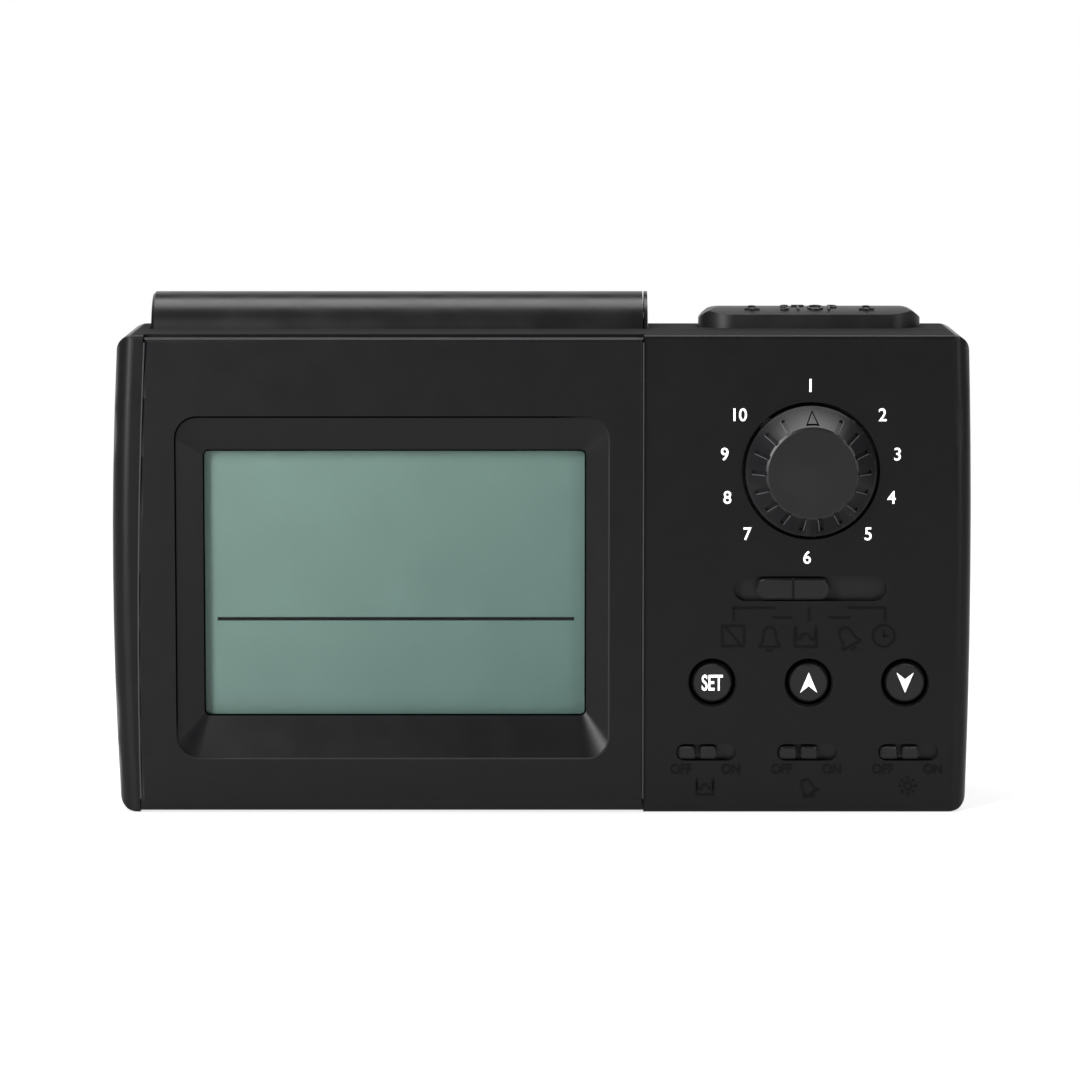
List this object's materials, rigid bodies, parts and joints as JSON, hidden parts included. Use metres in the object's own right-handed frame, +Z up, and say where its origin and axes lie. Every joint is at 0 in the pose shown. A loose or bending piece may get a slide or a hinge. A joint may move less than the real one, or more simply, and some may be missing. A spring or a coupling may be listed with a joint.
{
  "type": "table prayer clock",
  "caption": "Low rectangular table clock with a grey-green display, a control panel with dial, sliders and push buttons, a stop bar on top and a rear fold-out stand.",
  "frame": {"origin": "middle of the flat base, at mid width and mid depth of the case", "axes": "+X to the right seen from the front, +Y towards the back, +Z up; the display faces -Y"},
  "size_m": [0.1528, 0.038, 0.0916],
  "materials": {
    "case_black": "fine satin moulding",
    "panel_black": "fine satin moulding",
    "stand_black": "fine satin moulding",
    "clear_window": "clear, flat",
    "display_glass": "clear with grey-green film",
    "display_back": "grey-green reflecting film",
    "light_guide": "clear acrylic, frosted back",
    "holder_white": "white moulding",
    "conductive_rubber": "striped conductive rubber",
    "lamp_white": "moulded lamp package",
    "board_green": "green solder mask over glass-fibre laminate",
    "chip_black": "potting drop",
    "steel": "bright zinc plated",
    "can_blue": "sleeved capacitor can",
    "cable_grey": "flat grey flexible cable",
    "dial_black": "satin moulding",
    "switch_cream": "switch moulding",
    "knob_grey": "dark satin moulding",
    "button_black": "satin moulding",
    "door_black": "fine satin moulding",
    "cell_wrap": "plain sleeve over a metal can",
    "contact_metal": "nickel plated spring sheet",
    "speaker_metal": "black lacquered basket",
    "speaker_paper": "dark cone",
    "magnet_metal": "plated cup over a sintered magnet"
  },
  "bodies": {
    "case": {"front_housing": "case_black", "rear_housing": "case_black", "case_screws": "steel", "display_surround": "panel_black", "display_window": "clear_window", "lcd_front_glass": "display_glass", "lcd_rear_glass": "display_back", "light_guide": "light_guide", "connector_strips": "conductive_rubber", "backlight_lamps": "lamp_white", "lcd_holder": "holder_white", "main_board": "board_green", "control_board": "board_green", "control_chip": "chip_black", "quartz_crystal": "steel", "ribbon_cable": "cable_grey", "capacitors": "can_blue", "board_screws": "steel", "dial_switch": "switch_cream", "mode_switch": "switch_cream", "button_switches": "switch_cream", "slide_switches": "switch_cream", "stop_switch_board": "board_green", "stop_switch": "switch_cream", "hinge_pins": "steel", "battery_cells": "cell_wrap", "battery_contacts": "contact_metal", "speaker_basket": "speaker_metal", "speaker_cone": "speaker_paper", "speaker_magnet": "magnet_metal", "speaker_ring": "case_black"},
    "city_dial": {"city_dial": "dial_black", "dial_shaft": "knob_grey"},
    "mode_slider": {"mode_slider": "knob_grey"},
    "set_button": {"set_button": "button_black"},
    "up_button": {"up_button": "button_black"},
    "down_button": {"down_button": "button_black"},
    "call_slider": {"call_switch_knob": "knob_grey"},
    "snooze_slider": {"snooze_switch_knob": "knob_grey"},
    "season_slider": {"season_switch_knob": "knob_grey"},
    "stop_button": {"stop_button": "button_black"},
    "stand": {"stand": "stand_black", "stand_end_cap": "stand_black"},
    "battery_door": {"battery_door": "door_black"}
  },
  "joints": [
    {"name": "city_dial_turn", "type": "hinge", "parent": "case", "child": "city_dial", "pos_m": [0.0477, -0.0165, 0.0612], "axis": [0, 1, 0], "continuous": true},
    {"name": "mode_slide", "type": "slide", "parent": "case", "child": "mode_slider", "axis": [1, 0, 0], "range_m": [-0.003, 0.009]},
    {"name": "set_press", "type": "slide", "parent": "case", "child": "set_button", "axis": [0, 1, 0], "range_m": [0, 0.0008], "stiffness_N_per_m": 400, "springref_m": -0.0006},
    {"name": "up_press", "type": "slide", "parent": "case", "child": "up_button", "axis": [0, 1, 0], "range_m": [0, 0.0008], "stiffness_N_per_m": 400, "springref_m": -0.0006},
    {"name": "down_press", "type": "slide", "parent": "case", "child": "down_button", "axis": [0, 1, 0], "range_m": [0, 0.0008], "stiffness_N_per_m": 400, "springref_m": -0.0006},
    {"name": "call_slide", "type": "slide", "parent": "case", "child": "call_slider", "axis": [1, 0, 0], "range_m": [0, 0.003]},
    {"name": "snooze_slide", "type": "slide", "parent": "case", "child": "snooze_slider", "axis": [1, 0, 0], "range_m": [0, 0.003]},
    {"name": "season_slide", "type": "slide", "parent": "case", "child": "season_slider", "axis": [1, 0, 0], "range_m": [0, 0.003]},
    {"name": "stop_press", "type": "slide", "parent": "case", "child": "stop_button", "axis": [0, 0, -1], "range_m": [0, 0.0014], "stiffness_N_per_m": 400, "springref_m": -0.001},
    {"name": "stand_swing", "type": "hinge", "parent": "case", "child": "stand", "pos_m": [-0.02565, 0.0083, 0.0836], "axis": [1, 0, 0], "range_deg": [0, 38]},
    {"name": "door_slide", "type": "slide", "parent": "case", "child": "battery_door", "axis": [0, 0, -1], "range_m": [0, 0.012]}
  ]
}
